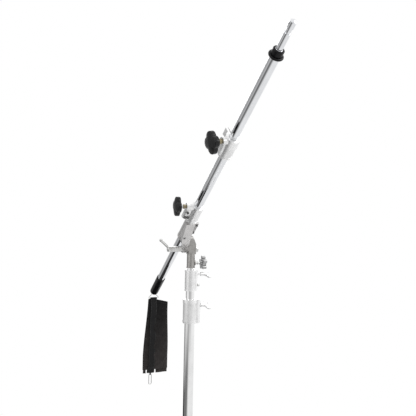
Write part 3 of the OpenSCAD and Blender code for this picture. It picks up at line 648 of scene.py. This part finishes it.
def inflate(obj, pinned):
    """Cloth with pressure and a little spare length, pinned at the seams; no point moves past the cap."""
    group = obj.vertex_groups.new(name="seams")
    group.add(pinned, 1.0, "REPLACE")
    start = [vertex.co.copy() for vertex in obj.data.vertices]
    cloth = obj.modifiers.new("cloth", "CLOTH")
    settings = cloth.settings
    settings.use_pressure = True
    settings.uniform_pressure_force = CLOTH_PRESSURE
    settings.effector_weights.gravity = 0
    settings.vertex_group_mass = "seams"
    settings.shrink_min = -CLOTH_SPARE_LENGTH
    settings.tension_stiffness = CLOTH_STIFFNESS
    settings.compression_stiffness = CLOTH_STIFFNESS
    settings.bending_stiffness = CLOTH_BENDING
    settings.quality = CLOTH_QUALITY
    cloth.point_cache.frame_start = 1
    cloth.point_cache.frame_end = CLOTH_FRAMES
    scene = bpy.context.scene
    for number in range(1, CLOTH_FRAMES + 1):
        scene.frame_set(number)
    posed = obj.evaluated_get(bpy.context.evaluated_depsgraph_get())
    settled = [vertex.co.copy() for vertex in posed.data.vertices]
    obj.modifiers.remove(cloth)
    scene.frame_set(1)
    for vertex, before, after in zip(obj.data.vertices, start, settled):
        move = after - before
        if move.length > SWELL_CAP:
            move = move.normalized() * SWELL_CAP
        vertex.co = before + move


def wrinkled(point):
    """Slack folds: a push along X that is strongest near the top, where the bag is empty."""
    drop = (BAG_TOP - point.z) / (BAG_TOP - BAG_BOTTOM)
    slack = 1 - smooth_step((drop - 0.15) / 0.45)
    folds = noise.noise(Vector((point.y * 34, point.z * 11, 2.0)))
    creases = abs(noise.noise(Vector((point.y * 60 + point.z * 42, point.z * 18 - point.y * 25, 7.0))))
    return FOLD_DEPTH * ((0.35 + 0.9 * slack) * folds - 0.8 * creases)


def make_bag():
    """The cloth shell: folded, swelled by its filling and refined."""
    verts, faces, pinned = bag_shell()
    bag = new_piece("counterweight_bag", verts, faces, FINISHES["bag_cloth"], "bag")
    edges = set(pinned)
    for number, vertex in enumerate(bag.data.vertices):
        if number not in edges:
            push = wrinkled(vertex.co)
            vertex.co.x += push if vertex.co.x > BAR.x else -push
    inflate(bag, pinned)
    refine = bag.modifiers.new("refine", "SUBSURF")
    refine.levels = 1
    refine.render_levels = 1
    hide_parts("sandbag")
    return bag


def surface_reach(tree, y, z, face):
    """X of the bag's front (face 1) or back (-1) at y, z, or None beside it."""
    origin = Vector((BAR.x + face * 0.2, y, z))
    hit = tree.ray_cast(origin, Vector((-face, 0, 0)))[0]
    return hit.x if hit else None


def strap_middle(z):
    share = (BAG_TOP - z) / (BAG_TOP - BAG_BOTTOM)
    return STRAP_TOP_Y + (STRAP_LOW_Y - STRAP_TOP_Y) * smooth_step(share)


def strap_side(tree, face, steps):
    """Middle line of the strap down the bag's front (face 1) or back (-1), as (x, z)."""
    points, last = [], BAR.x
    for step in range(steps + 1):
        z = BAG_TOP - 3 * MM - step / STRAP_STEPS * (BAG_TOP - BAG_BOTTOM - 8 * MM)
        reach = surface_reach(tree, strap_middle(z), z, face)
        last = last if reach is None else reach
        points.append((last + face * STRAP_HALF + face * STRAP_LIFT, z))
    return points


def strap_path(tree):
    """Middle line of the strap as (x, z): up the front, round the bar, half-way down the back."""
    round_r = BAR_RADIUS + BAR_GAP + STRAP_HALF
    over = []
    for step in range(13):
        turn = math.pi * step / 12
        over.append((BAR.x + round_r * math.cos(turn), BAR.z + round_r * math.sin(turn)))
    return list(reversed(strap_side(tree, 1, STRAP_STEPS))) + over + strap_side(tree, -1, STRAP_STEPS // 2)


def soften(path, rounds):
    """Evens out the middle line, with its ends kept."""
    for _ in range(rounds):
        path = [path[0]] + [
            tuple((a + 2 * b + c) / 4 for a, b, c in zip(before, here, after))
            for before, here, after in zip(path, path[1:], path[2:])
        ] + [path[-1]]
    return path


def ribbon(path, width, half, middle_of):
    """Verts and faces of a flat band along (x, z) points, with thicker woven edges."""
    columns = 13
    verts, rings = [], []
    for n, (x, z) in enumerate(path):
        before, after = path[max(0, n - 1)], path[min(len(path) - 1, n + 1)]
        along = Vector((after[0] - before[0], 0, after[1] - before[1])).normalized()
        normal = Vector((along.z, 0, -along.x))
        ring = []
        for face in (1, -1):
            for k in range(columns):
                share = (k / (columns - 1) * 2 - 1) * face
                edge = 0.25 * half if abs(share) > 0.86 else 0.0
                rounded = 0.25 if abs(share) > 0.99 else 1.0
                middle = Vector((x, middle_of(z) + share * width / 2, z))
                ring.append(len(verts))
                verts.append(middle + normal * face * (half + edge) * rounded)
        rings.append(ring)
    return verts, ring_faces(rings) + flat_ends(rings)


def make_strap(tree):
    """The webbing strap; returns its middle line."""
    path = soften(strap_path(tree), 3)
    verts, faces = ribbon(path, STRAP_WIDTH, STRAP_HALF, strap_middle)
    new_piece("bag_strap", verts, faces, STRAP_WEBBING, "bag")
    return path


def make_tabs():
    """Flat hem tabs below the filled part, with a notch on each side of the strap's tab."""
    low_half = bag_outline(1.0)[1]
    left, right = LOW_MIDDLE - low_half + TAB_INSET, LOW_MIDDLE + low_half - TAB_INSET
    spans = ((left, NOTCHES[0] - NOTCH_HALF), (NOTCHES[0] + NOTCH_HALF, NOTCHES[1] - NOTCH_HALF),
             (NOTCHES[1] + NOTCH_HALF, right))
    verts, faces = [], []
    for number, (start, end) in enumerate(spans):
        rows, columns = 12, 14
        rings = []
        for row in range(rows + 1):
            z = BAG_BOTTOM + TAB_DROP + TAB_OVERLAP - row / rows * (TAB_DROP + TAB_OVERLAP - 0.5 * MM)
            ring = []
            for face in (1, -1):
                for k in range(columns + 1):
                    share = k / columns if face > 0 else 1 - k / columns
                    curl = TAB_CURL * math.sin(5 * share + 2 * number + 3.0 * row / rows)
                    edge = 0.4 if share in (0, 1) else 1.0
                    thick = TAB_HALF * edge * (0.55 if row == rows else 1.0)
                    ring.append(len(verts))
                    verts.append(Vector((BAR.x + curl + face * thick, start + share * (end - start), z)))
            rings.append(ring)
        faces.extend(ring_faces(rings) + flat_ends(rings))
    new_piece("bag_hem_tabs", verts, faces, FINISHES["bag_cloth"], "bag")


def make_clip_loop():
    """Short loop of narrow webbing under the strap's tab, which holds the clip."""
    place = joint_place("clip_swing")
    path = []
    for step in range(25):
        turn = 2 * math.pi * step / 24
        pull = LOOP_PULL * max(0.0, math.cos(turn)) ** 2
        path.append((place.x + LOOP_RADIUS * math.sin(turn), place.z + LOOP_RADIUS * math.cos(turn) + pull))
    verts, faces = ribbon(path, LOOP_WIDTH, LOOP_HALF, lambda z: place.y)
    new_piece("bag_clip_loop", verts, faces, STRAP_WEBBING, "bag")


def add_stitch(verts, faces, place, along, up):
    """One raised stitch: a short spindle with six sides."""
    side = along.cross(up).normalized()
    lift = side.cross(along).normalized()
    first = len(verts)
    for share, scale in ((-0.5, 0.25), (-0.3, 0.9), (0.0, 1.0), (0.3, 0.9), (0.5, 0.25)):
        sink = -STITCH_RADIUS * abs(share)
        for k in range(6):
            turn = math.pi * k / 3
            offset = scale * STITCH_RADIUS * (math.cos(turn) * side + math.sin(turn) * lift)
            verts.append(place + along * share * STITCH_LENGTH + offset + lift * sink)
    for row in range(4):
        for k in range(6):
            n = (k + 1) % 6
            low, high = first + 6 * row, first + 6 * (row + 1)
            faces.append((low + k, low + n, high + n, high + k))
    faces.append(tuple(first + k for k in reversed(range(6))))
    faces.append(tuple(first + 24 + k for k in range(6)))


def stitch_strap(verts, faces, path):
    """Two rows of thread along the strap's edges."""
    walked = 0.0
    for (x0, z0), (x1, z1) in zip(path, path[1:]):
        step = Vector((x1 - x0, 0, z1 - z0))
        walked += step.length
        if walked < STITCH_PITCH:
            continue
        walked -= STITCH_PITCH
        along = step.normalized()
        out = Vector((along.z, 0, -along.x))
        for edge in (-1, 1):
            y = strap_middle(z1) + edge * (STRAP_WIDTH / 2 - STITCH_INSET)
            place = Vector((x1, y, z1)) + out * (STRAP_HALF + 0.15 * MM)
            add_stitch(verts, faces, place, along, out)


def stitch_side_seams(verts, faces, tree):
    """A row of thread beside each side seam, on the front and the back."""
    for edge in (-1, 1):
        for step in range(SEAM_STITCHES):
            drop = (step + 0.5) / SEAM_STITCHES
            middle, half, _ = bag_outline(drop)
            y = middle + edge * (half - BAG_FIN - STITCH_INSET)
            z = BAG_TOP - bag_slump(0.5 * (edge + 1), drop) - drop * SHELL_DROP
            for face in (1, -1):
                reach = surface_reach(tree, y, z, face)
                if reach is not None:
                    add_stitch(verts, faces, Vector((reach, y, z)), UP, Vector((face, 0, 0)))


def stitch_top_hem(verts, faces, tree):
    """A row of thread across the front's top hem, except behind the strap."""
    middle, half, _ = bag_outline(0.0)
    for step in range(HEM_STITCHES):
        share = (step + 0.5) / HEM_STITCHES
        y = middle - half + 4 * MM + share * (2 * half - 8 * MM)
        z = BAG_TOP - bag_slump(share, 0.0) - 9 * MM
        reach = surface_reach(tree, y, z, 1)
        if reach is not None and abs(y - strap_middle(z)) > STRAP_WIDTH / 2 + 2 * MM:
            slope = Vector((0, 1, -1.6 * BAG_DROOP * share ** 0.6 / (2 * half))).normalized()
            add_stitch(verts, faces, Vector((reach, y, z)), slope, Vector((1, 0, 0)))


def make_stitching(tree, path):
    verts, faces = [], []
    stitch_strap(verts, faces, path)
    stitch_side_seams(verts, faces, tree)
    stitch_top_hem(verts, faces, tree)
    new_piece("bag_stitching", verts, faces, thread(), "bag")


def make_sand():
    """The sand, a slightly uneven core inside the shell's lower part."""
    verts, rings = [], []
    rows, sides = 26, 40
    top_share = 1 - SAND_FILL / SHELL_DROP
    for row in range(rows + 1):
        share = row / rows
        drop = top_share + (SAND_FLOOR - top_share) * share
        middle, half, thick = bag_outline(drop)
        close = math.sqrt(max(0.02, 1 - abs(2 * share - 1) ** 8))
        ring = []
        for k in range(sides):
            turn = 2 * math.pi * k / sides
            y = middle + SAND_SPREAD * (half - BAG_FIN) * close * math.sin(turn)
            x = BAR.x + SAND_DEPTH * thick * close * math.cos(turn)
            lumps = 1.5 * MM * noise.noise(Vector((x * 60, y * 60, drop * 20)))
            ring.append(len(verts))
            verts.append(Vector((x, y, BAG_TOP - drop * SHELL_DROP + lumps)))
        rings.append(ring)
    faces = ring_faces(rings) + [tuple(reversed(rings[0])), tuple(rings[-1])]
    core = new_piece("bag_sand", verts, faces, FINISHES["sand"], "bag")
    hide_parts("sand_fill")


def bag_surface(bag):
    """The finished shell as a tree for finding its surface."""
    posed = bag.evaluated_get(bpy.context.evaluated_depsgraph_get())
    return BVHTree.FromPolygons([vertex.co.copy() for vertex in posed.data.vertices],
                                [tuple(face.vertices) for face in posed.data.polygons])


def make_counterweight():
    bag = make_bag()
    tree = bag_surface(bag)
    path = make_strap(tree)
    make_tabs()
    make_clip_loop()
    make_stitching(tree, path)
    make_sand()


make_counterweight()


# ---- studio ----

CAMERA_PLACE = Vector((1.6572, -0.5373, 1.6056))
CAMERA_AZIMUTH = math.radians(70.17)
CAMERA_ROLL = math.radians(1.18)
CAMERA_LENS = 42.83
CAMERA_SENSOR = 36
FLOOR_RADIUS = 1.88
LIGHT_TARGET = Vector((0.0, 0.0, 1.5))
# name, place, width and height, power
LIGHTS = [("key", Vector((1.6, 1.6, 3.0)), (1.6, 1.6), 26),
          ("fill", Vector((1.2, -2.2, 2.2)), (1.4, 1.8), 10),
          ("back", Vector((-2.0, 0.6, 2.6)), (1.2, 2.0), 14)]
FLAG_SIZE = (0.34, 0.9)
FLAG_DISTANCE = 0.7
FLAG_GREY = 0.01


def make_camera():
    """Level camera at head height, turned slightly clockwise."""
    data = bpy.data.cameras.new("camera")
    data.sensor_width = CAMERA_SENSOR
    data.lens = CAMERA_LENS
    data.clip_start = 0.05
    data.clip_end = 60
    camera = bpy.data.objects.new("camera", data)
    bpy.context.scene.collection.objects.link(camera)
    ahead = Vector((-math.sin(CAMERA_AZIMUTH), math.cos(CAMERA_AZIMUTH), 0))
    right = ahead.cross(UP)
    turned_right = math.cos(CAMERA_ROLL) * right + math.sin(CAMERA_ROLL) * UP
    turned_up = math.cos(CAMERA_ROLL) * UP - math.sin(CAMERA_ROLL) * right
    turn = Matrix((turned_right, turned_up, -ahead)).transposed()
    camera.matrix_world = Matrix.Translation(CAMERA_PLACE) @ turn.to_4x4()
    bpy.context.scene.camera = camera


def make_floor():
    """Pale round floor, small enough to leave the lower part of the picture white."""
    bm = bmesh.new()
    bmesh.ops.create_circle(bm, cap_ends=True, segments=160, radius=FLOOR_RADIUS)
    mesh = bpy.data.meshes.new("floor")
    bm.to_mesh(mesh)
    bm.free()
    floor = bpy.data.objects.new("floor", mesh)
    bpy.context.scene.collection.objects.link(floor)
    mat, tree, shader = material("floor_paper", (0.86, 0.86, 0.86), roughness=0.85)
    tone = ramp(tree, noise_of(tree, coordinates(tree), 3, detail=6), [(0.3, 0.84), (0.7, 0.88)])
    tree.links.new(tone, shader.inputs["Base Color"])
    mesh.materials.append(mat)
    floor.visible_glossy = False


def aim(obj, target):
    obj.rotation_mode = "QUATERNION"
    obj.rotation_quaternion = (target - obj.location).to_track_quat("-Z", "Y")


def make_light(name, place, target, size, power):
    data = bpy.data.lights.new(name, "AREA")
    data.shape = "RECTANGLE"
    data.size, data.size_y = size
    data.energy = power
    light = bpy.data.objects.new(name, data)
    bpy.context.scene.collection.objects.link(light)
    light.location = place
    aim(light, target)
    light.visible_camera = False


def make_flag(name, place, target, along, size, grey):
    """Dark card that only reflections see; its height lies along a direction."""
    mesh = bpy.data.meshes.new(name)
    half_w, half_h = size[0] / 2, size[1] / 2
    corners = [(-half_w, -half_h, 0), (half_w, -half_h, 0), (half_w, half_h, 0), (-half_w, half_h, 0)]
    mesh.from_pydata(corners, [], [(0, 1, 2, 3)])
    card = bpy.data.objects.new(name, mesh)
    bpy.context.scene.collection.objects.link(card)
    facing = (target - place).normalized()
    upright = (along - facing * along.dot(facing)).normalized()
    turn = Matrix((upright.cross(facing), upright, facing)).transposed().to_4x4()
    card.matrix_world = Matrix.Translation(place) @ turn
    mat = material(name + "_card", (grey, grey, grey), roughness=0.9)[0]
    mesh.materials.append(mat)
    for ray in ("camera", "diffuse", "shadow", "transmission", "volume_scatter"):
        setattr(card, "visible_" + ray, False)


# brightness of the room as round polished tubes show it, from their left edge (-1) to their right edge (1)
BOOM_STRIPES = [(-1.0, 0.85), (-0.82, 0.22), (-0.62, 0.30), (-0.46, 0.62), (-0.33, 0.19), (-0.12, 0.19),
                (0.04, 0.70), (0.20, 0.92), (1.0, 0.88)]
COLUMN_STRIPES = [(-1.0, 0.55), (-0.86, 0.36), (-0.62, 0.95), (-0.44, 1.0), (-0.30, 0.60), (-0.08, 0.48),
                  (0.20, 0.60), (0.50, 0.92), (1.0, 1.0)]


def stripes(tree, vector, axis, facing, stops):
    """Room brightness that changes only with the angle about an axis, so it shows as stripes along a tube."""
    front = (facing - facing.dot(axis) * axis).normalized()
    side = axis.cross(front) if axis.cross(front).y > 0 else front.cross(axis)
    parts = []
    for direction in (side, front):
        dot = tree.nodes.new("ShaderNodeVectorMath")
        dot.operation = "DOT_PRODUCT"
        dot.inputs[1].default_value = direction
        tree.links.new(vector, dot.inputs[0])
        parts.append(dot.outputs["Value"])
    half_angle = maths(tree, "MULTIPLY", maths(tree, "ARCTAN2", parts[0], parts[1]), 0.5)
    across = remap(tree, maths(tree, "SINE", half_angle, 0), -1, 1, 0, 1)
    return ramp(tree, across, [((place + 1) / 2, grey) for place, grey in stops])


def make_world():
    """White for the camera; for all else a bright dome over stripes about the column and, lower, the boom."""
    world = bpy.data.worlds.new("studio")
    bpy.context.scene.world = world
    world.use_nodes = True
    tree = world.node_tree
    tree.nodes.clear()
    out = tree.nodes.new("ShaderNodeOutputWorld")
    shown = tree.nodes.new("ShaderNodeBackground")
    shown.inputs["Color"].default_value = (1, 1, 1, 1)
    shown.inputs["Strength"].default_value = 1.0
    lit = tree.nodes.new("ShaderNodeBackground")
    where = tree.nodes.new("ShaderNodeTexCoord")
    split = tree.nodes.new("ShaderNodeSeparateXYZ")
    tree.links.new(where.outputs["Generated"], split.inputs["Vector"])
    facing = CAMERA_PLACE - joint_place("boom_tilt")
    low = stripes(tree, where.outputs["Generated"], BOOM_AXIS, facing, BOOM_STRIPES)
    level = stripes(tree, where.outputs["Generated"], UP, facing, COLUMN_STRIPES)
    high = ramp(tree, split.outputs["Z"], [(0.0, 0.9), (1.0, 1.0)])
    tone = mixed(tree, remap(tree, split.outputs["Z"], -0.32, -0.20, 0, 1), low, level)
    tone = mixed(tree, remap(tree, split.outputs["Z"], 0.22, 0.50, 0, 1), tone, high)
    tree.links.new(tone, lit.inputs["Color"])
    lit.inputs["Strength"].default_value = 1.0
    ray = tree.nodes.new("ShaderNodeLightPath")
    mix = tree.nodes.new("ShaderNodeMixShader")
    tree.links.new(ray.outputs["Is Camera Ray"], mix.inputs[0])
    tree.links.new(lit.outputs[0], mix.inputs[1])
    tree.links.new(shown.outputs[0], mix.inputs[2])
    tree.links.new(mix.outputs[0], out.inputs["Surface"])


def make_studio():
    make_world()
    for name, place, size, power in LIGHTS:
        make_light(name, place, LIGHT_TARGET, size, power)
    tube_spot = (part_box("end_grip")[1] + joint_place("boom_tilt")) / 2
    tube_spot.y = BAR.y
    sight = (tube_spot - CAMERA_PLACE).normalized()
    normal = -(sight - sight.dot(BOOM_AXIS) * BOOM_AXIS).normalized()
    bounce = sight - 2 * sight.dot(normal) * normal
    make_flag("flag_low", tube_spot + FLAG_DISTANCE * bounce, tube_spot, BOOM_AXIS, FLAG_SIZE, FLAG_GREY)
    bpy.context.scene.view_settings.view_transform = "Standard"


make_camera()
make_floor()
make_studio()
